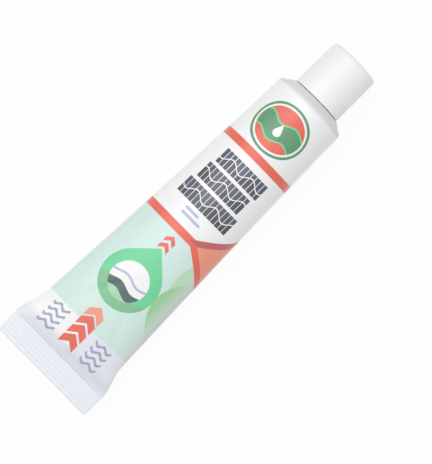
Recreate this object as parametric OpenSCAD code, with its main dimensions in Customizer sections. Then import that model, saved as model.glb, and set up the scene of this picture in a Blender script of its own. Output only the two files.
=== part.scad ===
// A full squeeze tube of paste with a screw cap, lying on its belly with the printed side up.
// X runs along the tube towards the cap, Z is up, and the table is at Z = 0.
// The origin is under the middle of the whole length.

/* [Sleeve] */
// Outer diameter of the round end of the sleeve
tube_d = 32; // [28:0.5:36]
// Length of the sleeve from the sealed edge to the shoulder
sleeve_len = 145.4; // [120:0.1:170]
// Thickness of the sleeve's wall
wall = 0.5; // [0.4:0.05:0.7]
// Width of the sleeve where it starts to flare out to the seal
belly_w = 41.6; // [38:0.1:44]
// Length over which the sleeve flares out to the seal
flare_len = 13.2; // [8:0.1:20]
// Power of the curve by which the sleeve grows wider away from the shoulder
taper_power = 1.2; // [1:0.1:2]
// Power of the curve by which the sleeve grows thinner away from the shoulder
fullness = 1.6; // [1.3:0.1:2.2]
// Roundness with which the two sides close on the seal
closing = 0.45; // [0.4:0.01:0.6]
// Length over which the section turns from a round one to a pinched one beside the seal
pinch_len = 30; // [15:1:50]
// Power that pinches the section's two side edges beside the seal
pinch_power = 1.8; // [1.4:0.1:2.4]

/* [Seal] */
// Width of the flat sealed end
seal_w = 47.7; // [45:0.1:50]
// Length of the flat sealed band
seal_len = 9.6; // [7:0.1:14]
// Height of the sealed edge's middle above the table
seal_z = 8; // [6:0.5:12]
// Power of the curve by which the middle of the sleeve drops towards the seal
drop_power = 1.3; // [1.2:0.05:1.5]
// Number of ribs pressed across the sealed band
seal_ribs = 5; // [3:1:8]
// Depth of the grooves between those ribs
rib_depth = 0.12; // [0.05:0.01:0.2]
// Plain margin before the first rib and after the last
seal_margin = 0.8; // [0.5:0.1:1.5]

/* [Shoulder and neck] */
// Height of the rim that covers the sleeve's end
rim_h = 0.8; // [0.5:0.1:1.5]
// Height of the whole shoulder, from the sleeve's end to its flat top
shoulder_h = 3.9; // [2.5:0.1:6]
// Radius of the rounded edge between the rim and the slope, as far as the rim allows
shoulder_edge_r = 1.4; // [0.4:0.1:1.4]
// Diameter of the shoulder's flat top, which the cap closes on
land_d = 22.8; // [22:0.1:25]
// Length of the skirt that the sleeve is welded around
skirt_len = 3; // [2:0.1:5]
// Clearance between that skirt and the sleeve
skirt_gap = 0.15; // [0.1:0.01:0.2]
// Wall thickness of the shoulder and its skirt
head_wall = 1.3; // [1:0.1:1.8]
// Diameter of the neck at the root of its thread
neck_d = 11.8; // [10:0.1:13]
// Length of the neck above the shoulder
neck_len = 9.5; // [8:0.1:10]
// Chamfer around the neck's mouth
neck_chamfer = 0.4; // [0.2:0.1:0.6]
// Diameter of the nozzle's bore
bore_d = 7; // [4:0.1:7]
// Height of the thread's ridge on the neck
thread_h = 0.6; // [0.4:0.05:0.8]

/* [Cap] */
// Outer diameter of the cap at its mouth
cap_d = 22; // [21:0.1:24]
// Length of the cap
cap_len = 21.2; // [18:0.1:26]
// How much narrower the cap is at its closed end
cap_draft = 0.5; // [0:0.1:1]
// Radius of the rounded edge at the closed end
cap_edge_r = 1.6; // [0.8:0.1:2]
// Wall thickness of the cap's outer skirt
cap_wall = 1.3; // [1:0.1:1.6]
// Thickness of the cap's closed end
cap_end = 2; // [1.6:0.1:3]
// Wall thickness of the threaded socket in the cap
socket_wall = 1.2; // [0.8:0.1:1.4]
// Radial clearance of the socket around the neck's thread
thread_gap = 0.2; // [0.15:0.01:0.4]
// How far the socket stops short of the cap's mouth
socket_recess = 0.6; // [0.3:0.1:1.5]
// Diameter of the post that holds the liner down
post_d = 6.4; // [5.6:0.1:7.5]
// Gap between the cap's mouth and the shoulder when the cap is tight
cap_gap = 0.3; // [0.2:0.05:0.6]

/* [Foil and liner] */
// Thickness of the foil across the neck's mouth
foil_t = 0.12; // [0.08:0.01:0.2]
// Thickness of the liner disc
liner_t = 1.2; // [0.8:0.1:2]
// Radial clearance of the liner in the socket
liner_side_gap = 0.25; // [0.15:0.01:0.4]
// Clearance on each face of the liner
liner_face_gap = 0.05; // [0.03:0.01:0.1]

/* [Paste] */
// Clearance between the paste and the walls around it
paste_gap = 0.1; // [0.05:0.01:0.2]

/* [Hidden] */

around = 40;          // points around a section of the sleeve
paste_around = 20;    // points around a section of the paste
stations = 30;        // sections along the sleeve between the seal and the shoulder
crowding = 1.8;       // power that crowds those sections towards the seal
slab_power = 0.25;    // how square the edges of the sealed band are; 1 is an ellipse
slit = 0.05;          // half height of the hollow where it ends at the seal
steps_per_rib = 4;
edge_steps = 5;       // steps around the shoulder's rounded edge
turned_fn = 96;

total_len = sleeve_len + shoulder_h + cap_gap + cap_len;
seal_x = -total_len / 2;
shoulder_x = seal_x + sleeve_len;
hollow_len = sleeve_len - seal_len;
axis_z = tube_d / 2;
belly_d = hollow_len - flare_len;

skirt_r = tube_d / 2 - wall - skirt_gap;
cavity_r = skirt_r - head_wall;
neck_top = shoulder_h + neck_len;
cone_slope = (shoulder_h - rim_h) / (tube_d / 2 - land_d / 2);
edge_turn = 90 - atan(cone_slope);
edge_r = min(shoulder_edge_r, 0.95 * rim_h / tan(edge_turn / 2));
edge_start = rim_h - edge_r * tan(edge_turn / 2);
cavity_top = shoulder_h - head_wall;
cavity_side = max(cavity_top - (cavity_r - land_d / 2) * cone_slope, -skirt_len / 2);

liner_base = neck_top + foil_t + liner_face_gap;
cap_mouth = shoulder_h + cap_gap;
cap_top = cap_mouth + cap_len;
socket_r = neck_d / 2 + thread_h + thread_gap;

function ease(t) = let (c = min(max(t, 0), 1)) c * c * (3 - 2 * c);
function mix(a, b, t) = a + (b - a) * t;
function signed_power(v, p) = sign(v) * pow(abs(v), p);

// In the functions below, d is the distance back from the shoulder.
function belly_half_w(d) = tube_d / 2 + (belly_w - tube_d) / 2 * pow(d / belly_d, taper_power);
function half_w(d) = mix(belly_half_w(d), seal_w / 2, ease((d - belly_d) / flare_len));

function rib_wave(d) =
    let (s = (sleeve_len - d - seal_margin) / (seal_len - 2 * seal_margin))
    s < 0 || s > 1 ? 0 : (1 - cos(360 * seal_ribs * s)) / 2;
function half_h(d) = d >= hollow_len
    ? wall - rib_depth * rib_wave(d)
    : wall + (tube_d / 2 - wall) * pow(1 - pow(d / hollow_len, fullness), closing);

function mid_z(d) = axis_z - (axis_z - seal_z) * pow(d / sleeve_len, drop_power);
function beside_seal(d) = ease((d - hollow_len + pinch_len) / pinch_len);

// One closed section of a tube is a thin slab with a swelling on both sides, which is an ellipse by
// the shoulder and a lens by the seal. Inset moves it inwards, and it lies no lower than floor_z.
function section(d, inset, floor_z, count) =
    let (
        a = half_w(d) - inset,
        slab = max(min(half_h(d), wall) - inset, slit),
        swelling = max(half_h(d) - inset - slab, 0)
    )
    [for (i = [0:count - 1])
        let (
            angle = 360 * i / count,
            up = slab * signed_power(sin(angle), mix(1, slab_power, beside_seal(d)))
                + swelling * signed_power(sin(angle), mix(1, pinch_power, beside_seal(d)))
        )
        [shoulder_x - d, a * cos(angle), max(mid_z(d) + up, floor_z)]];

function round_section(h, r, count) =
    [for (i = [0:count - 1])
        let (angle = 360 * i / count)
        [shoulder_x + h, r * cos(angle), axis_z + r * sin(angle)]];

rib_steps = seal_ribs * steps_per_rib;
seal_ds = concat([sleeve_len], [for (i = [0:rib_steps])
    sleeve_len - seal_margin - (seal_len - 2 * seal_margin) * i / rib_steps]);
hollow_ds = [for (i = [0:stations]) hollow_len * (1 - pow(i / stations, crowding))];
filled_ds = [for (d = hollow_ds) if (d < hollow_len && d > skirt_len + paste_gap) d];

// Faces that join ring i to ring i + 1, and the flat faces that close the first and last rings.
function ring_faces(rings, count) = [for (i = [0:rings - 2], j = [0:count - 1])
    let (k = (j + 1) % count, a = i * count, b = a + count)
    each [[a + j, a + k, b + k], [a + j, b + k, b + j]]];
function end_faces(rings, count) = [
    [for (j = [count - 1:-1:0]) j],
    [for (j = [0:count - 1]) (rings - 1) * count + j]];

module tube_of(rings, count) {
    faces = concat(ring_faces(len(rings), count), end_faces(len(rings), count));
    polyhedron([for (ring = rings) each ring], [for (f = faces) [for (i = [len(f) - 1:-1:0]) f[i]]]);
}

// Turns a profile of [radius, height above the shoulder's foot] about the tube's axis.
module turned(profile) {
    translate([shoulder_x, 0, axis_z])
        rotate([0, 90, 0])
            rotate_extrude($fn = turned_fn)
                polygon(profile);
}

// The skin of the sleeve is one surface: out along its outside and back along its inside.
module sleeve() {
    outside = [for (d = concat(seal_ds, hollow_ds)) section(d, 0, 0, around)];
    inside = [for (i = [stations:-1:0]) section(hollow_ds[i], wall, wall, around)];
    color("white")
        tube_of(concat(outside, inside), around);
}

module shoulder_neck() {
    rounded_edge = [for (i = [0:edge_steps])
        let (angle = edge_turn * i / edge_steps)
        [tube_d / 2 - edge_r * (1 - cos(angle)), edge_start + edge_r * sin(angle)]];
    color("whitesmoke")
        turned(concat([
            [skirt_r, -skirt_len],
            [skirt_r, 0],
            [tube_d / 2, 0]
        ], rounded_edge, [
            [land_d / 2, shoulder_h],
            [neck_d / 2, shoulder_h],
            [neck_d / 2, neck_top - neck_chamfer],
            [neck_d / 2 - neck_chamfer, neck_top],
            [bore_d / 2, neck_top],
            [bore_d / 2, cavity_top],
            [land_d / 2, cavity_top],
            [cavity_r, cavity_side],
            [cavity_r, -skirt_len]
        ]));
}

module foil_seal() {
    color("silver")
        translate([shoulder_x + neck_top, 0, axis_z])
            rotate([0, 90, 0])
                cylinder(h = foil_t, r = neck_d / 2 - neck_chamfer, $fn = turned_fn);
}

module paste() {
    in_sleeve = [for (d = filled_ds) section(d, wall + paste_gap, wall + paste_gap, paste_around)];
    in_head = [for (p = [
            [-skirt_len - paste_gap, skirt_r],
            [-skirt_len - paste_gap, cavity_r],
            [cavity_side - paste_gap, cavity_r],
            [cavity_top - paste_gap, land_d / 2],
            [cavity_top - paste_gap, bore_d / 2],
            [neck_top, bore_d / 2]
        ]) round_section(p[0], p[1] - paste_gap, paste_around)];
    color("tan")
        tube_of(concat(in_sleeve, in_head), paste_around);
}

module cap_liner() {
    color("gainsboro")
        translate([shoulder_x + liner_base, 0, axis_z])
            rotate([0, 90, 0])
                cylinder(h = liner_t, r = socket_r - liner_side_gap, $fn = turned_fn);
}

module screw_cap() {
    end_r = (cap_d - cap_draft) / 2;
    rounded_edge = [for (angle = [0:15:90])
        [end_r - cap_edge_r * (1 - cos(angle)), cap_top - cap_edge_r * (1 - sin(angle))]];
    color("white")
        turned(concat([[cap_d / 2, cap_mouth]], rounded_edge, [
            [0, cap_top],
            [0, liner_base + liner_t + liner_face_gap],
            [post_d / 2, liner_base + liner_t + liner_face_gap],
            [post_d / 2, cap_top - cap_end],
            [socket_r, cap_top - cap_end],
            [socket_r, cap_mouth + socket_recess],
            [socket_r + socket_wall, cap_mouth + socket_recess],
            [socket_r + socket_wall, cap_top - cap_end],
            [end_r - cap_wall, cap_top - cap_end],
            [cap_d / 2 - cap_wall, cap_mouth]
        ]));
}

sleeve();
shoulder_neck();
foil_seal();
paste();
cap_liner();
screw_cap();
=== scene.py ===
"""Looks of a full squeeze tube of paste with a screw cap, lying with its printed side up."""
import math

import bmesh
import bpy
import numpy as np
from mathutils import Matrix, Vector


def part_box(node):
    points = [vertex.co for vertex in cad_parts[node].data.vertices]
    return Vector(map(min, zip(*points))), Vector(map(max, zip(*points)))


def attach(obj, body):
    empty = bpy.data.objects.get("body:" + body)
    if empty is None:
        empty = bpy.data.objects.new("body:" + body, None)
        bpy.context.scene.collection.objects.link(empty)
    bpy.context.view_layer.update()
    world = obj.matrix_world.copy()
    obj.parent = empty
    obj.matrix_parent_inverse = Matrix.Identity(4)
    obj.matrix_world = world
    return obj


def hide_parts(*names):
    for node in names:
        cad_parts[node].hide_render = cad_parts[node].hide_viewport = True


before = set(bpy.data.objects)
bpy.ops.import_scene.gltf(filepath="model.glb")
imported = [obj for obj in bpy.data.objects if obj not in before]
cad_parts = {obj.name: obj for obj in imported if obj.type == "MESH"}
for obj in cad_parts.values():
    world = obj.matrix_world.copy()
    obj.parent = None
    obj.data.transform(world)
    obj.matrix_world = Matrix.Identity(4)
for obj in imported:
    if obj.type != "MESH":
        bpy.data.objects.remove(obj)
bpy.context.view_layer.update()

MM = 0.001

# The photograph's frame, in pixels, and where the tube lies in it
PHOTO_W, PHOTO_H = 432, 464
PHOTO_SCALE = 0.3855       # millimetres of the tube to a pixel
AXIS_X, AXIS_Y = 185, 230  # a point on the tube's axis in the photograph
AXIS_FROM_SEAL = 204       # pixels from the sealed edge to that point
AXIS_TURN = 44.5           # degrees from the photograph's right up to the tube's axis

# Camera, lamps, floor and world, in metres and watts
CAMERA_HEIGHT = 0.9        # above the top of the tube
SENSOR = 36                # millimetres
KEY_PLACE, KEY_SIZE, KEY_POWER = (-0.1, 0.46, 0.94), 1.0, 3.7
TOP_PLACE, TOP_SIZE, TOP_POWER = (0.0, -0.05, 1.3), 1.6, 3.8
WORLD_FILL = 0.52          # the world's strength on the object, where 1 is white
FLOOR_HALF = 3
FLOOR_BOUNCE = 0.8         # share of the light that the floor throws back on the object
FLOOR_SHADED = 0.07        # share of the light that the floor shows, which keeps the shadow
FLOOR_GLOW = 0.925         # the rest of the white that the floor shows

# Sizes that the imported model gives, in millimetres
sleeve_low, sleeve_high = (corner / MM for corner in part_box("sleeve"))
head_low, head_high = (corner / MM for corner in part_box("shoulder_neck"))
cap_low, cap_high = (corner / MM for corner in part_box("screw_cap"))
liner_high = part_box("cap_liner")[1] / MM
TUBE_D = head_high.z - head_low.z
TUBE_R = TUBE_D / 2
SLEEVE_LEN = sleeve_high.x - sleeve_low.x
SEAL_W = sleeve_high.y - sleeve_low.y
SHOULDER_X = sleeve_high.x
SEAL_X = sleeve_low.x
CAP_R = (cap_high.z - cap_low.z) / 2
CAP_MOUTH = cap_low.x - SHOULDER_X
CAP_TOP = cap_high.x - SHOULDER_X
NECK_TOP = head_high.x - SHOULDER_X
LINER_TOP = liner_high.x - SHOULDER_X

# Shape of the sleeve, as in the CAD model
WALL = 0.5
BELLY_W = 41.6        # width where the sleeve starts to flare out to the seal
FLARE_LEN = 13.2
TAPER_POWER = 1.2     # of the curve by which it grows wider away from the shoulder
FULLNESS = 1.6        # power of the curve by which it grows thinner that way
CLOSING = 0.45        # roundness with which its two sides close on the seal
PINCH_LEN = 30        # length beside the seal over which the section's edges get pinched
PINCH_POWER = 1.8
SLAB_POWER = 0.25     # squares off the section of the two walls that lie on each other
SLIT = 0.05           # least half height of the hollow
SEAL_LEN = 9.6
SEAL_Z = 8            # height of the sealed edge's middle
DROP_POWER = 1.3      # of the curve by which the section's middle drops to the seal
SEAL_RIBS = 5
RIB_DEPTH = 0.12
SEAL_MARGIN = 0.8     # plain margin before the first rib and after the last
HOLLOW_LEN = SLEEVE_LEN - SEAL_LEN
BELLY_D = HOLLOW_LEN - FLARE_LEN

# Pairs of the distance from an end of the sleeve and how far its outside is rounded off there
SEALED_EDGE = ((0, 0.2), (0.06, 0.08), (0.2, 0))
ROUND_END = ((0.3, 0), (0.15, 0.03), (0.05, 0.09), (0, 0.2))
CLEAR_OF_END = 0.4

# Soft forms of the filled sleeve, which the CAD model leaves out
CREASE_LEN = 44       # from the seal towards the shoulder
CREASE_IN = 3         # from the seal's corners to where the two folds start
CREASE_W = 1.8
CREASE_D = 0.35
DENT_D = 0.06
DENT_FADE = 15        # length over which the waves fade out at both ends
DENT_WAVES = ((0.13, 0.09, 0.6), (-0.05, 0.17, 0))  # radians to a mm along and across, and start

# Shape of the shoulder, the neck and its thread
RIM_H = 0.8
SHOULDER_H = 3.9
SHOULDER_EDGE_R = 1.4
LAND_R = 11.4         # radius of the shoulder's flat top
SKIRT_LEN = 3
SKIRT_GAP = 0.15
SKIRT_R = TUBE_R - WALL - SKIRT_GAP
HEAD_WALL = 1.3
NECK_R = 5.9
BORE_R = 3.5
THREAD_H = 0.6
THREAD_PITCH = 2.5
THREAD_START = SHOULDER_H + 0.9
THREAD_END = NECK_TOP - 0.3
THREAD_FADE = 0.9     # length over which the ridge rises at its start and sinks at its end
THREAD_GAP = 0.2
RIDGE_FOOT = 0.15     # where the ridge begins, on a cosine over one pitch
RIDGE_FLANK = 0.55    # from there to its full height, on that cosine

# Shape of the cap
CAP_DRAFT = 0.25
CAP_EDGE_R = 1.6
CAP_WALL = 1.3
CAP_END = 2
DIMPLE_R = 2.4        # shallow round mark in the middle of the end
DIMPLE_D = 0.3
SOCKET_WALL = 1.2
SOCKET_RECESS = 0.6
SOCKET_R = NECK_R + THREAD_H + THREAD_GAP
SOCKET_MOUTH = CAP_MOUTH + SOCKET_RECESS
SOCKET_THREAD_START = SOCKET_MOUTH + 0.6
SOCKET_THREAD_END = NECK_TOP - 0.2
POST_R = 3.2
POST_GAP = 0.05

# How far a moulded edge is rounded along its two sides
SOFT_EDGE = 0.4
MOULD_EDGE = 0.3
FINE_EDGE = 0.2
DIMPLE_EDGE = 0.15
SEAM_EDGE = 0.04

# Fineness of the meshes
AROUND = 192          # points round the sleeve
LATHE_AROUND = 144    # points round a turned piece
OUTER_ROWS = 180      # rows along the outside of the hollow, closer together at the seal
OUTER_CROWDING = 1.6
INNER_ROWS = 60
INNER_CROWDING = 1.8
RIB_ROWS = 12         # rows to a rib of the seal
CORNER_STEPS = 6
THREAD_STEP = 0.1
SHARP_ANGLE = 35      # degrees between two faces, from which their edge stays sharp
WELD = 1e-7           # metres within which two points of a mesh are one


def ease(t):
    t = np.clip(t, 0, 1)
    return t * t * (3 - 2 * t)


def mix(a, b, t):
    return a + (b - a) * t


def signed_power(v, p):
    return np.sign(v) * np.abs(v) ** p


def linear(red, green, blue):
    """The linear colour of three numbers from 0 to 255, as a paint chart gives them."""
    shares = [c / 255 for c in (red, green, blue)]
    return (*[c / 12.92 if c <= 0.04045 else ((c + 0.055) / 1.055) ** 2.4 for c in shares], 1)


# Meshes

def add_rings(bm, rings, places=None):
    """Joins rings of points with faces. Places gives each point's print coordinates, ring by ring."""
    made = [[bm.verts.new(p * MM) for p in ring] for ring in rings]
    printed = bm.loops.layers.uv.new("print") if places else None
    count = len(rings[0])
    for i in range(len(made) - 1):
        for j in range(count):
            corners = ((i, j), (i, j + 1), (i + 1, j + 1), (i + 1, j))
            face = bm.faces.new([made[ring][point % count] for ring, point in corners])
            if places:
                for loop, (ring, point) in zip(face.loops, corners):
                    loop[printed].uv = places[ring][point]
    return made


def close_flat(bm, ring):
    """Closes a flat ring, whose first point is its lowest, with strips from side to side."""
    count = len(ring)
    quarter = count // 4
    side = [ring[(quarter + i) % count] for i in range(count // 2 + 1)]
    other = [ring[(quarter - i) % count] for i in range(count // 2 + 1)]
    for i in range(count // 2):
        corners = [side[i], side[i + 1], other[i + 1], other[i]]
        bm.faces.new(list(dict.fromkeys(corners)))


def to_object(bm, name):
    bmesh.ops.remove_doubles(bm, verts=bm.verts, dist=WELD)
    bmesh.ops.recalc_face_normals(bm, faces=bm.faces)
    for face in bm.faces:
        face.smooth = True
    for edge in bm.edges:
        edge.smooth = edge.calc_face_angle(0) < math.radians(SHARP_ANGLE)
    mesh = bpy.data.meshes.new(name)
    bm.to_mesh(mesh)
    bm.free()
    made = bpy.data.objects.new(name, mesh)
    bpy.context.scene.collection.objects.link(made)
    return made


# Sleeve, where d is the distance back from the shoulder

def half_width(d):
    belly = TUBE_R + (BELLY_W / 2 - TUBE_R) * (d / BELLY_D) ** TAPER_POWER
    return mix(belly, SEAL_W / 2, ease((d - BELLY_D) / FLARE_LEN))


def half_height(d):
    if d < HOLLOW_LEN:
        return WALL + (TUBE_R - WALL) * (1 - (d / HOLLOW_LEN) ** FULLNESS) ** CLOSING
    along_ribs = (SLEEVE_LEN - d - SEAL_MARGIN) / (SEAL_LEN - 2 * SEAL_MARGIN)
    in_ribs = 0 <= along_ribs <= 1
    groove = (1 - math.cos(2 * math.pi * SEAL_RIBS * along_ribs)) / 2 if in_ribs else 0
    return WALL - RIB_DEPTH * groove


def crease(d, across):
    """Depth of the two soft folds that run from the seal's corners to the middle of the tube."""
    along = np.clip((HOLLOW_LEN - d) / CREASE_LEN, 0, 1)
    place = (SEAL_W / 2 - CREASE_IN) * (1 - along)
    return CREASE_D * np.sin(np.pi * along) * np.exp(-(((np.abs(across) - place) / CREASE_W) ** 2))


def dents(d, across):
    """Depth of the shallow waves that a filled soft tube has on its upper side."""
    waves = 1
    for along_turn, across_turn, start in DENT_WAVES:
        waves = waves * np.sin(along_turn * d + across_turn * across + start)
    return DENT_D * (waves + 1) * ease(d / DENT_FADE) * ease((HOLLOW_LEN - d) / DENT_FADE)


def sleeve_section(d, inset, floor):
    """One closed section, which starts at its lowest point and goes by the photograph's upper left."""
    angle = np.linspace(-np.pi / 2, 1.5 * np.pi, AROUND, endpoint=False)
    slab = max(min(half_height(d), WALL) - inset, SLIT)
    swelling = max(half_height(d) - inset - slab, 0)
    beside_seal = ease((d - HOLLOW_LEN + PINCH_LEN) / PINCH_LEN)
    up = slab * signed_power(np.sin(angle), mix(1, SLAB_POWER, beside_seal))
    up = up + swelling * signed_power(np.sin(angle), mix(1, PINCH_POWER, beside_seal))
    across = (half_width(d) - inset) * np.cos(angle)
    up = up - crease(d, across) * np.sin(angle) - dents(d, across) * np.maximum(np.sin(angle), 0)
    middle = TUBE_R - (TUBE_R - SEAL_Z) * (d / SLEEVE_LEN) ** DROP_POWER
    return np.stack([np.full(AROUND, SHOULDER_X - d), across, np.maximum(middle + up, floor)], 1)


def print_places(section):
    """Print coordinates of a section's points, with those of its first point once more at the end."""
    closed = np.vstack([section, section[:1]])
    run = np.concatenate([[0], np.cumsum(np.linalg.norm(np.diff(closed, axis=0), axis=1))])
    return np.stack([closed[:, 0] - SEAL_X, run - run[AROUND // 2]], 1)


def sleeve_stations():
    """Pairs of the distance back from the shoulder and how far the outside is rounded off there."""
    sealed_edge = [(SLEEVE_LEN - from_edge, rounded) for from_edge, rounded in SEALED_EDGE]
    ribs_len = SEAL_LEN - 2 * SEAL_MARGIN
    steps = SEAL_RIBS * RIB_ROWS
    ribs = [(SLEEVE_LEN - SEAL_MARGIN - ribs_len * i / steps, 0) for i in range(steps + 1)]
    hollow = [(HOLLOW_LEN * (1 - (i / OUTER_ROWS) ** OUTER_CROWDING), 0) for i in range(OUTER_ROWS)]
    return sealed_edge + ribs + [row for row in hollow if row[0] > CLEAR_OF_END] + list(ROUND_END)


def make_sleeve():
    outside = [sleeve_section(d, rounded, 0) for d, rounded in sleeve_stations()]
    shares = [1 - (i / INNER_ROWS) ** INNER_CROWDING for i in range(INNER_ROWS, -1, -1)]
    rings = outside + [sleeve_section(HOLLOW_LEN * share, WALL, WALL) for share in shares]
    bm = bmesh.new()
    made = add_rings(bm, rings, [print_places(ring) for ring in rings])
    close_flat(bm, made[0])
    close_flat(bm, made[-1])
    return to_object(bm, "sleeve_skin")


# Turned pieces, whose profiles are points of radius and height above the sleeve's end

def rounded_corner(before, corner, after, reach):
    """Points of a round corner that reaches this far along the two straight stretches beside it."""
    a, b, c = (np.array(p, float) for p in (before, corner, after))
    to_a, to_c = (a - b) / np.linalg.norm(a - b), (c - b) / np.linalg.norm(c - b)
    start, end = b + to_a * reach, b + to_c * reach
    t = np.linspace(0, 1, CORNER_STEPS + 1)[:, None]
    return list((1 - t) ** 2 * start + 2 * t * (1 - t) * b + t ** 2 * end)


def rounded_profile(points):
    """A closed profile from points of radius, height and the reach of the corner's rounding."""
    made = []
    for i, (r, h, reach) in enumerate(points):
        if reach:
            after = points[(i + 1) % len(points)]
            made += rounded_corner(points[i - 1][:2], (r, h), after[:2], reach)
        else:
            made.append(np.array((r, h), float))
    return made


def at_radius(r, radius):
    return abs(r - radius) < 1e-6


def finer(profile, low, high, radius):
    """Adds points to the stretch of a profile that lies at this radius, between two heights."""
    made = []
    for i, point in enumerate(profile):
        after = profile[(i + 1) % len(profile)]
        made.append(point)
        straight = at_radius(point[0], radius) and at_radius(after[0], radius)
        if straight and min(point[1], after[1]) < high and max(point[1], after[1]) > low:
            count = int(abs(after[1] - point[1]) / THREAD_STEP)
            made += [mix(point, after, k / count) for k in range(1, count)]
    return made


def thread_ridge(angle, height, start, end, phase=0.0):
    """Share of the thread's full height at an angle and a height. Phase is in turns."""
    turns = (height - THREAD_START) / THREAD_PITCH - angle / (2 * np.pi) + phase
    ridge = ease((np.cos(2 * np.pi * turns) - RIDGE_FOOT) / RIDGE_FLANK)
    return ridge * ease((height - start) / THREAD_FADE) * ease((end - height) / THREAD_FADE)


def make_turned(name, profile, shift):
    """Turns a closed profile about the tube's axis. Shift gives how far each point moves outwards."""
    angle = np.linspace(0, 2 * np.pi, LATHE_AROUND, endpoint=False)
    rings = []
    for r, h in profile + profile[:1]:
        radius = r + shift(r, angle, h) + 0 * angle
        rings.append(np.stack([
            np.full(LATHE_AROUND, SHOULDER_X + h),
            radius * np.cos(angle),
            TUBE_R + radius * np.sin(angle),
        ], 1))
    bm = bmesh.new()
    add_rings(bm, rings)
    return to_object(bm, name)


def make_head():
    cavity_r = SKIRT_R - HEAD_WALL
    cavity_top = SHOULDER_H - HEAD_WALL
    slope = (SHOULDER_H - RIM_H) / (TUBE_R - LAND_R)
    edge_reach = SHOULDER_EDGE_R * math.tan((math.pi / 2 - math.atan(slope)) / 2)
    profile = rounded_profile([
        (SKIRT_R, -SKIRT_LEN, 0),
        (SKIRT_R, 0, 0),
        (TUBE_R, 0, SEAM_EDGE),
        (TUBE_R, RIM_H, edge_reach),
        (LAND_R, SHOULDER_H, SOFT_EDGE),
        (NECK_R, SHOULDER_H, MOULD_EDGE),
        (NECK_R, NECK_TOP, SOFT_EDGE),
        (BORE_R, NECK_TOP, FINE_EDGE),
        (BORE_R, cavity_top, 0),
        (LAND_R, cavity_top, 0),
        (cavity_r, cavity_top - (cavity_r - LAND_R) * slope, 0),
        (cavity_r, -SKIRT_LEN, 0),
    ])

    def shift(r, angle, h):
        on_neck = at_radius(r, NECK_R) and THREAD_START < h < THREAD_END
        return THREAD_H * thread_ridge(angle, h, THREAD_START, THREAD_END) if on_neck else 0

    return make_turned("head_moulding", finer(profile, THREAD_START, THREAD_END, NECK_R), shift)


def make_cap():
    end_r = CAP_R - CAP_DRAFT
    post_bottom = LINER_TOP + POST_GAP
    inner_top = CAP_TOP - CAP_END
    start, end = SOCKET_THREAD_START, SOCKET_THREAD_END
    profile = rounded_profile([
        (0, CAP_TOP - DIMPLE_D, 0),
        (0, post_bottom, 0),
        (POST_R, post_bottom, FINE_EDGE),
        (POST_R, inner_top, 0),
        (SOCKET_R, inner_top, 0),
        (SOCKET_R, SOCKET_MOUTH, MOULD_EDGE),
        (SOCKET_R + SOCKET_WALL, SOCKET_MOUTH, MOULD_EDGE),
        (SOCKET_R + SOCKET_WALL, inner_top, 0),
        (end_r - CAP_WALL, inner_top, 0),
        (CAP_R - CAP_WALL, CAP_MOUTH, FINE_EDGE),
        (CAP_R, CAP_MOUTH, MOULD_EDGE),
        (end_r, CAP_TOP, CAP_EDGE_R),
        (DIMPLE_R, CAP_TOP, DIMPLE_EDGE),
        (DIMPLE_R - DIMPLE_D, CAP_TOP - DIMPLE_D, 0),
    ])

    def shift(r, angle, h):
        in_socket = at_radius(r, SOCKET_R) and start < h < end
        return -THREAD_H * thread_ridge(angle, h, start, end, 0.5) if in_socket else 0

    return make_turned("cap_shell", finer(profile, start, end, SOCKET_R), shift)


# Shader sums

class Value:
    """A number that a material works out, which takes ordinary signs."""

    def __init__(self, tree, socket):
        self.tree = tree
        self.socket = socket

    def do(self, operation, *others):
        node = self.tree.nodes.new("ShaderNodeMath")
        node.operation = operation
        for number, value in enumerate((self, *others)):
            if isinstance(value, Value):
                self.tree.links.new(value.socket, node.inputs[number])
            else:
                node.inputs[number].default_value = value
        return Value(self.tree, node.outputs[0])

    def __add__(self, other):
        return self.do("ADD", other)

    def __sub__(self, other):
        return self.do("SUBTRACT", other)

    def __mul__(self, other):
        return self.do("MULTIPLY", other)

    def __truediv__(self, other):
        return self.do("DIVIDE", other)

    def __neg__(self):
        return self * -1

    def __abs__(self):
        return self.do("ABSOLUTE")

    def least(self, other):
        return self.do("MINIMUM", other)

    def most(self, other):
        return self.do("MAXIMUM", other)


# Shapes of the print. Each is the signed distance from its outline, negative inside, at s along
# the sleeve from the sealed edge and w round its girth from the top, in millimetres. The girth
# counts up towards the photograph's lower right.

INK_EDGE = 0.12       # width over which the ink's edge is soft


def covered(distance):
    """1 inside a shape, 0 outside it, and soft at its outline."""
    return (distance * (-1 / INK_EDGE) + 0.5).most(0).least(1)


def length_of(a, b):
    return (a * a + b * b).do("SQRT")


def wave(place, turn, height):
    """A sine wave of this height, which turns by so many radians to a millimetre."""
    return (place * turn).do("SINE") * height


def disc(s, w, at, radius):
    return length_of(s - at[0], w - at[1]) - radius


def block(s, w, low, high, corner=0.0):
    """A rectangle between two corners, with its corners rounded."""
    middle = [(a + b) / 2 for a, b in zip(low, high)]
    half = [(b - a) / 2 - corner for a, b in zip(low, high)]
    out_s = abs(s - middle[0]) - half[0]
    out_w = abs(w - middle[1]) - half[1]
    outside = length_of(out_s.most(0), out_w.most(0))
    return outside + out_s.most(out_w).least(0) - corner


def band(s, low, high):
    return abs(s - (low + high) / 2) - (high - low) / 2


def drop(s, w, at, radius, length):
    """A water drop with its round end at a point and its tip further along the tube."""
    along = s - at[0]
    across = abs(w - at[1])
    round_end = length_of(along, across) - radius
    lean = math.asin(radius / length)
    cone = across * math.cos(lean) + along * math.sin(lean) - length * math.sin(lean)
    start = length * math.sin(lean) ** 2
    return round_end.least(cone.most(-(along - start)))


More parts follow.
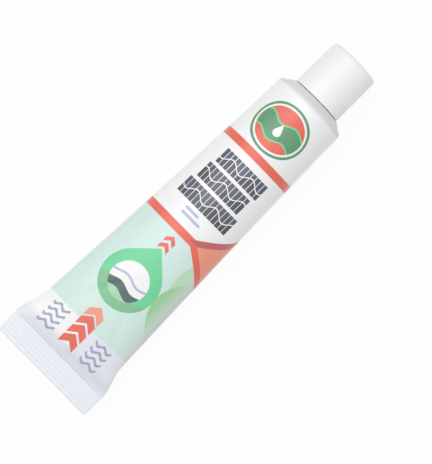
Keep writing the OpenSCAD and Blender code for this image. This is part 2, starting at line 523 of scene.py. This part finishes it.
def triangle(s, w, tip, half_base, base_w):
    """A triangle with its tip nearer the tube's middle and its base at a place round the girth."""
    height = base_w - tip[1]
    slant = math.hypot(half_base, height)
    side = (abs(s - tip[0]) * height - (w - tip[1]) * half_base) / slant
    return side.most(w - base_w)


# Inks

WHITE = linear(250, 250, 250)
HAZE = linear(222, 226, 230)
LAVENDER = linear(235, 238, 246)
# painted shade: a darker lavender for the flare that slopes away just beyond the seal
FLARE_PAINTED_SHADE = linear(214, 217, 229)
LAVENDER_LINE = linear(160, 165, 192)
MINT = linear(214, 238, 231)
# painted shade: a grey mint for the side of the field that lies in shade
MINT_PAINTED_SHADE = linear(220, 230, 226)
LEAF_PALE = linear(150, 212, 152)
LEAF_MIST = linear(190, 230, 190)
GREEN = linear(96, 214, 150)
GREEN_MID = linear(120, 190, 142)
GREEN_FILL = linear(158, 216, 166)
GREEN_DEEP = linear(76, 146, 98)
TEAL = linear(40, 78, 74)
ORANGE = linear(236, 92, 64)
ORANGE_PALE = linear(246, 150, 120)
RED = linear(198, 84, 88)
NAVY = linear(46, 48, 68)
SLATE = linear(62, 68, 86)
BLUE_PALE = linear(180, 188, 222)

# Places and sizes of the print, along the sleeve and round its girth

MIDDLE_W = -0.8                           # the picture's middle line
STRIPES = ((75.7, 79.0), (115.8, 119.1))  # start and end of each

SEAL_BAND_END = 12.0
PANEL_LOW, PANEL_HIGH, PANEL_CORNER = (2, 0), (28, 27), 3
FLARE_SHADE_S = 13.2                      # middle of the painted shade on the flare beside the seal
FLARE_SHADE_FADE, FLARE_SHADE_TOP = 0.3, 1.2
FLARE_SHADE_SHARE = 0.6
FIELD_START, FIELD_CORNER = 26, 4
FIELD_SIDES = (-27, 26)
SIDE_SHADE_W, SIDE_SHADE_FADE, SIDE_SHADE_MOST = 13.5, 0.16, 0.8
HILLS = (                                 # ink, place of the top and bend
    (LEAF_MIST, 64.0, 11.6, 0.024),
    (LEAF_PALE, 52.5, 11.2, 0.042),
)

WAVE_LINES = (14.9, 17.9, 20.9, 23.9)
WAVE_ASIDE, WAVE_REACH = 11.6, 4.2        # middle of a group from MIDDLE_W, and its half length
WAVE_TURN, WAVE_HEIGHT, WAVE_HALF = 1.3, 0.7, 0.6

CHEVRON_LEAN = 0.8
CHEVRONS = ((18.6, ORANGE), (23.5, ORANGE), (28.4, ORANGE), (33.0, ORANGE_PALE))
CHEVRON_HALF, CHEVRON_REACH = 1.9, 3.7
SMALL_CHEVRONS = (69.6, 73.0)
SMALL_CHEVRON_HALF, SMALL_CHEVRON_REACH = 1.0, 2.4

DROP_AT, DROP_R, DROP_LEN = (50.0, MIDDLE_W - 0.2), 12.6, 17.4
DROP_SHADE_S, DROP_SHADE_TURN, DROP_SHADE_HEIGHT = 46.4, 0.3, 2
WINDOW_AT, WINDOW_R = (DROP_AT[0] - 0.6, DROP_AT[1]), 8.2
LEVEL_S, LEVEL_TURN, LEVEL_HEIGHT = 45.4, 0.5, 0.8
LEVEL_HALF = 1.7                          # of the dark wave
LEVEL_LINE_UP, LEVEL_LINE_HALF = 5.0, 0.5

FORK_TIP_W, FORK_HALF_BASE = 3.4, 14.0
FORK_INNER_TIP_W, FORK_INNER_HALF_BASE = 8.2, 10.8
FORK_BASE_W = 24.6

SHORT_LINES = ((82.6, 3.2), (84.9, 0.4))  # place along the sleeve and end round the girth
SHORT_LINE_START, SHORT_LINE_W, SHORT_LINE_CORNER = -6.2, 1.2, 0.4

METERS = (                                # start, length, start round the girth, bars, bar's width
    (87.7, 7.5, -14.6, 13, 1.86),
    (96.7, 7.4, -12.8, 11, 1.84),
    (105.5, 7.0, -11.4, 11, 1.8),
)
METER_PITCH = 2.1
METER_LEVEL, METER_GAP_HALF = 0.52, 0.24  # share of the length where the gap lies
METER_TURN, METER_HEIGHT = 0.62, 1.3

BADGE_AT, BADGE_STRETCH = (131.0, -1.8), 1.17
BADGE_R, BADGE_RING_R, BADGE_RIM_R = 8.9, 9.7, 10.7
BADGE_BAND_BACK, BADGE_TURN, BADGE_HEIGHT = 0.7, 0.5, 1.1
BADGE_BAND_HALF, BADGE_BAND_INNER_HALF = 4.2, 3.5
BADGE_DROP_BACK, BADGE_DROP_R, BADGE_DROP_LEN = 1.5, 1.7, 4.0


def print_field(s, w, paint, tint):
    """Lavender over the seal and beside it with a painted shade just beyond the seal, the mint field
    behind the picture, low hills on it, and painted shade that greys the field towards larger w.
    """
    paint(LAVENDER, (s - SEAL_BAND_END).least(block(s, w, PANEL_LOW, PANEL_HIGH, PANEL_CORNER)))
    # Painted shade: a darker lavender band just beyond the seal, where the flare slopes away from the
    # light.
    shade = (-(abs(s - FLARE_SHADE_S)) * FLARE_SHADE_FADE + FLARE_SHADE_TOP).most(0).least(1)
    tint(FLARE_PAINTED_SHADE, shade * FLARE_SHADE_SHARE)
    end = STRIPES[0][0]
    low, high = (FIELD_START, FIELD_SIDES[0]), (end + FIELD_CORNER, FIELD_SIDES[1])
    field = block(s, w, low, high, FIELD_CORNER).most(s - end)
    paint(MINT, field)
    for ink, top_s, top_w, bend in HILLS:
        aside = s - top_s
        paint(ink, field.most(-(w - aside * aside * bend - top_w)))
    # Painted shade: the mint field greys towards larger w, the side of the tube that lies in shade.
    side_shade = ((w - SIDE_SHADE_W) * SIDE_SHADE_FADE).most(0).least(SIDE_SHADE_MOST)
    tint(MINT_PAINTED_SHADE, side_shade * covered(field))


def print_waves(s, w, paint):
    """Thin wavy lines on both sides of the chevrons."""
    for side in (-1, 1):
        reach = abs(w - MIDDLE_W - side * WAVE_ASIDE) - WAVE_REACH
        for at in WAVE_LINES:
            line = abs(s - wave(w, WAVE_TURN, WAVE_HEIGHT) - at) - WAVE_HALF
            paint(LAVENDER_LINE, line.most(reach))


def chevron(s, w, at, half, reach):
    """A chevron on the middle line that points along the tube."""
    aside = abs(w - MIDDLE_W)
    return (abs(s + aside * CHEVRON_LEAN - at) - half).most(aside - reach)


def print_chevrons(s, w, paint):
    """Chevrons that point to the drop, and two small ones from its tip to the first stripe."""
    for at, ink in CHEVRONS:
        paint(ink, chevron(s, w, at, CHEVRON_HALF, CHEVRON_REACH))
    for at in SMALL_CHEVRONS:
        paint(ORANGE, chevron(s, w, at, SMALL_CHEVRON_HALF, SMALL_CHEVRON_REACH))


def print_drop(s, w, paint):
    """A large green drop with a round window, in which a dark wave stands over a green fill."""
    whole = drop(s, w, DROP_AT, DROP_R, DROP_LEN)
    window = disc(s, w, WINDOW_AT, WINDOW_R)
    level = s - LEVEL_S + wave(w, LEVEL_TURN, LEVEL_HEIGHT)
    paint(GREEN, whole)
    paint(GREEN_MID, whole.most(s - DROP_SHADE_S + wave(w, DROP_SHADE_TURN, DROP_SHADE_HEIGHT)))
    paint(WHITE, window)
    paint(GREEN_FILL, window.most(level))
    paint(TEAL, window.most(abs(level) - LEVEL_HALF))
    paint(BLUE_PALE, window.most(abs(level - LEVEL_LINE_UP) - LEVEL_LINE_HALF))


def print_fork(s, w, paint):
    """The fork that the first stripe opens into at the photograph's lower edge, in two reds."""
    middle = sum(STRIPES[0]) / 2
    outline = triangle(s, w, (middle, FORK_TIP_W), FORK_HALF_BASE, FORK_BASE_W)
    inner = triangle(s, w, (middle, FORK_INNER_TIP_W), FORK_INNER_HALF_BASE, FORK_BASE_W)
    paint(ORANGE, outline)
    paint(RED, outline.most(-(s - middle)))
    paint(ORANGE_PALE, inner)


def print_short_lines(s, w, paint):
    for at, end in SHORT_LINES:
        low, high = (at, SHORT_LINE_START), (at + SHORT_LINE_W, end)
        paint(BLUE_PALE, block(s, w, low, high, SHORT_LINE_CORNER))


def print_meters(s, w, paint):
    """Three dark level meters across the tube, each a row of bars that a wavy gap cuts in two."""
    for low, length, start, count, bar in METERS:
        place = ((w - start) / METER_PITCH).do("FRACT")
        between = abs(place - 0.5) * METER_PITCH - bar / 2
        level = low + length * METER_LEVEL
        above = s - (w * METER_TURN + low).do("SINE") * METER_HEIGHT - level
        row = block(s, w, (low, start), (low + length, start + count * METER_PITCH))
        bars = row.most(between)
        paint(NAVY, bars.most(above + METER_GAP_HALF))
        paint(SLATE, bars.most(-above + METER_GAP_HALF))


def print_badge(s, w, paint):
    """An oval badge with a wavy band and a drop."""
    at_s, at_w = BADGE_AT
    oval_w = (w - at_w) / BADGE_STRETCH + at_w
    field = disc(s, oval_w, BADGE_AT, BADGE_R)
    from_band = abs(s - wave(w, BADGE_TURN, BADGE_HEIGHT) - at_s + BADGE_BAND_BACK)
    paint(GREEN_DEEP, disc(s, oval_w, BADGE_AT, BADGE_RIM_R))
    paint(WHITE, disc(s, oval_w, BADGE_AT, BADGE_RING_R))
    paint(ORANGE, field)
    paint(GREEN, field.most(from_band - BADGE_BAND_HALF))
    paint(GREEN_DEEP, field.most(from_band - BADGE_BAND_INNER_HALF))
    paint(WHITE, drop(s, w, (at_s - BADGE_DROP_BACK, at_w), BADGE_DROP_R, BADGE_DROP_LEN))


# Materials. A noise of scale 100 has spots of about 10 mm.

HAZE_SCALE, HAZE_SHARE = 45, 0.12
SLEEVE_GRAIN = 900
GRAIN_DEPTH = 0.03    # millimetres, of the fine grain of plastic
CLOUD_SCALE, CLOUD_SHARE, CLOUD_DARKER = 60, 0.5, 0.94
FOIL_GRAIN, FOIL_DEPTH = 700, 0.05


def new_material(name):
    material = bpy.data.materials.new(name)
    material.use_nodes = True
    tree = material.node_tree
    return material, tree, tree.nodes["Principled BSDF"]


def object_place(tree):
    return tree.nodes.new("ShaderNodeTexCoord").outputs["Object"]


def noise(tree, vector, scale, detail=2.0):
    node = tree.nodes.new("ShaderNodeTexNoise")
    node.inputs["Scale"].default_value = scale
    node.inputs["Detail"].default_value = detail
    tree.links.new(vector, node.inputs["Vector"])
    return Value(tree, node.outputs["Fac"])


def add_roughness(tree, shader, place, roughness, spread, scale):
    """Roughness that varies about a middle value by this spread."""
    rough = noise(tree, place, scale) * spread + (roughness - spread / 2)
    tree.links.new(rough.socket, shader.inputs["Roughness"])


def add_bump(tree, shader, height, depth, strength):
    node = tree.nodes.new("ShaderNodeBump")
    node.inputs["Distance"].default_value = depth * MM
    node.inputs["Strength"].default_value = strength
    tree.links.new(height.socket, node.inputs["Height"])
    tree.links.new(node.outputs["Normal"], shader.inputs["Normal"])


def painted(tree, under, colour, share):
    """The colour under a layer of paint that covers this share of it."""
    node = tree.nodes.new("ShaderNodeMix")
    node.data_type = "RGBA"
    tree.links.new(share.socket, node.inputs["Factor"])
    for socket, value in ((node.inputs["A"], under), (node.inputs["B"], colour)):
        if isinstance(value, tuple):
            socket.default_value = value
        else:
            tree.links.new(value, socket)
    return node.outputs["Result"]


def make_sleeve_material():
    """White plastic film under a thin clear coat, with the print on it, and painted shade beyond the
    seal and along one side.
    """
    material, tree, shader = new_material("printed_sleeve")
    uv = tree.nodes.new("ShaderNodeUVMap")
    uv.uv_map = "print"
    apart = tree.nodes.new("ShaderNodeSeparateXYZ")
    tree.links.new(uv.outputs["UV"], apart.inputs["Vector"])
    s = Value(tree, apart.outputs["X"])
    w = Value(tree, apart.outputs["Y"])
    colour = [WHITE]

    def tint(ink, share):
        colour[0] = painted(tree, colour[0], ink, share)

    def paint(ink, distance):
        tint(ink, covered(distance))

    print_field(s, w, paint, tint)
    print_waves(s, w, paint)
    print_chevrons(s, w, paint)
    print_drop(s, w, paint)
    for low, high in STRIPES:
        paint(ORANGE, band(s, low, high))
    print_fork(s, w, paint)
    print_short_lines(s, w, paint)
    print_meters(s, w, paint)
    print_badge(s, w, paint)
    place = object_place(tree)
    tint(HAZE, noise(tree, place, HAZE_SCALE) * HAZE_SHARE)
    tree.links.new(colour[0], shader.inputs["Base Color"])
    add_roughness(tree, shader, place, roughness=0.36, spread=0.12, scale=260)
    shader.inputs["Coat Weight"].default_value = 0.3
    shader.inputs["Coat Roughness"].default_value = 0.15
    add_bump(tree, shader, noise(tree, place, SLEEVE_GRAIN, 3), GRAIN_DEPTH, 0.6)
    return material


def make_plastic(name, colour, roughness, grain):
    """Moulded plastic with slightly darker clouds and a grain of this noise scale."""
    material, tree, shader = new_material(name)
    place = object_place(tree)
    darker = tuple(CLOUD_DARKER * c for c in colour[:3]) + (1,)
    clouded = painted(tree, colour, darker, noise(tree, place, CLOUD_SCALE) * CLOUD_SHARE)
    tree.links.new(clouded, shader.inputs["Base Color"])
    add_roughness(tree, shader, place, roughness, spread=0.14, scale=grain / 4)
    add_bump(tree, shader, noise(tree, place, grain, 3), GRAIN_DEPTH, 0.7)
    return material


def make_foil():
    material, tree, shader = new_material("foil")
    shader.inputs["Metallic"].default_value = 1
    place = object_place(tree)
    add_roughness(tree, shader, place, roughness=0.35, spread=0.2, scale=500)
    shade = painted(tree, linear(226, 228, 230), linear(200, 203, 206), noise(tree, place, 200))
    tree.links.new(shade, shader.inputs["Base Color"])
    add_bump(tree, shader, noise(tree, place, FOIL_GRAIN), FOIL_DEPTH, 1)
    return material


def dress(thing, material):
    thing.data.materials.clear()
    thing.data.materials.append(material)


# Pieces

sleeve = make_sleeve()
dress(sleeve, make_sleeve_material())
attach(sleeve, "tube")
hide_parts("sleeve")

head = make_head()
dress(head, make_plastic("head_plastic", linear(236, 237, 239), 0.42, 700))
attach(head, "tube")
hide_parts("shoulder_neck")

cap = make_cap()
dress(cap, make_plastic("cap_plastic", linear(250, 250, 250), 0.36, 800))
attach(cap, "cap")
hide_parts("screw_cap")

dress(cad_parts["foil_seal"], make_foil())
dress(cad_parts["paste"], make_plastic("paste_fill", linear(196, 170, 122), 0.5, 300))
dress(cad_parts["cap_liner"], make_plastic("liner_foam", linear(228, 230, 226), 0.8, 1500))


# Floor, light and camera

def backdrop_ray(tree):
    """1 for the rays that see the background straight, in a gloss or through glass, and else 0."""
    path = tree.nodes.new("ShaderNodeLightPath")
    kinds = ("Camera", "Glossy", "Transmission")
    seen, gloss, glass = (Value(tree, path.outputs[f"Is {kind} Ray"]) for kind in kinds)
    return seen.most(gloss).most(glass)


def add_shader(tree, kind, socket, value):
    node = tree.nodes.new(kind)
    node.inputs[socket].default_value = value
    return node


def make_floor():
    """A pale floor that shows as nearly white, with the object's soft shadow on it."""
    mesh = bpy.data.meshes.new("floor")
    corners = [(x * FLOOR_HALF, y * FLOOR_HALF, 0) for x, y in ((-1, -1), (1, -1), (1, 1), (-1, 1))]
    mesh.from_pydata(corners, [], [(0, 1, 2, 3)])
    floor = bpy.data.objects.new("floor", mesh)
    bpy.context.scene.collection.objects.link(floor)
    material = bpy.data.materials.new("floor_white")
    material.use_nodes = True
    tree = material.node_tree
    tree.nodes.clear()
    lit = add_shader(tree, "ShaderNodeBsdfDiffuse", "Color", (*[FLOOR_BOUNCE] * 3, 1))
    shaded = add_shader(tree, "ShaderNodeBsdfDiffuse", "Color", (*[FLOOR_SHADED] * 3, 1))
    glow = add_shader(tree, "ShaderNodeEmission", "Strength", FLOOR_GLOW)
    seen = tree.nodes.new("ShaderNodeAddShader")
    tree.links.new(shaded.outputs[0], seen.inputs[0])
    tree.links.new(glow.outputs[0], seen.inputs[1])
    choose = tree.nodes.new("ShaderNodeMixShader")
    tree.links.new(backdrop_ray(tree).socket, choose.inputs[0])
    tree.links.new(lit.outputs[0], choose.inputs[1])
    tree.links.new(seen.outputs[0], choose.inputs[2])
    output = tree.nodes.new("ShaderNodeOutputMaterial")
    tree.links.new(choose.outputs[0], output.inputs["Surface"])
    mesh.materials.append(material)


def add_lamp(name, place, size, power):
    """A round soft lamp that faces the origin, under the middle of the object."""
    light = bpy.data.lights.new(name, "AREA")
    light.shape = "DISK"
    light.size = size
    light.energy = power
    made = bpy.data.objects.new(name, light)
    made.location = place
    made.rotation_mode = "QUATERNION"
    made.rotation_quaternion = (-Vector(place)).to_track_quat("-Z", "Y")
    bpy.context.scene.collection.objects.link(made)


def make_light():
    add_lamp("key", KEY_PLACE, KEY_SIZE, KEY_POWER)
    add_lamp("top", TOP_PLACE, TOP_SIZE, TOP_POWER)
    world = bpy.data.worlds.new("studio")
    bpy.context.scene.world = world
    world.use_nodes = True
    tree = world.node_tree
    background = tree.nodes["Background"]
    background.inputs["Color"].default_value = (1, 1, 1, 1)
    strength = backdrop_ray(tree) * (1 - WORLD_FILL) + WORLD_FILL
    tree.links.new(strength.socket, background.inputs["Strength"])


def make_camera():
    """Looks straight down, turned so that the tube lies as in the photograph."""
    turn = math.radians(AXIS_TURN)
    right, down = PHOTO_W / 2 - AXIS_X, PHOTO_H / 2 - AXIS_Y
    along = right * math.cos(turn) - down * math.sin(turn)
    across = right * math.sin(turn) + down * math.cos(turn)
    data = bpy.data.cameras.new("camera")
    data.sensor_width = SENSOR
    data.lens = SENSOR * CAMERA_HEIGHT / (max(PHOTO_W, PHOTO_H) * PHOTO_SCALE * MM)
    camera = bpy.data.objects.new("camera", data)
    x = (SEAL_X + (AXIS_FROM_SEAL + along) * PHOTO_SCALE) * MM
    y = -across * PHOTO_SCALE * MM
    camera.location = (x, y, CAMERA_HEIGHT + TUBE_R * MM)
    camera.rotation_euler = (0, 0, -turn)
    bpy.context.scene.collection.objects.link(camera)
    bpy.context.scene.camera = camera


make_camera()
make_floor()
make_light()
bpy.context.scene.view_settings.view_transform = "Standard"
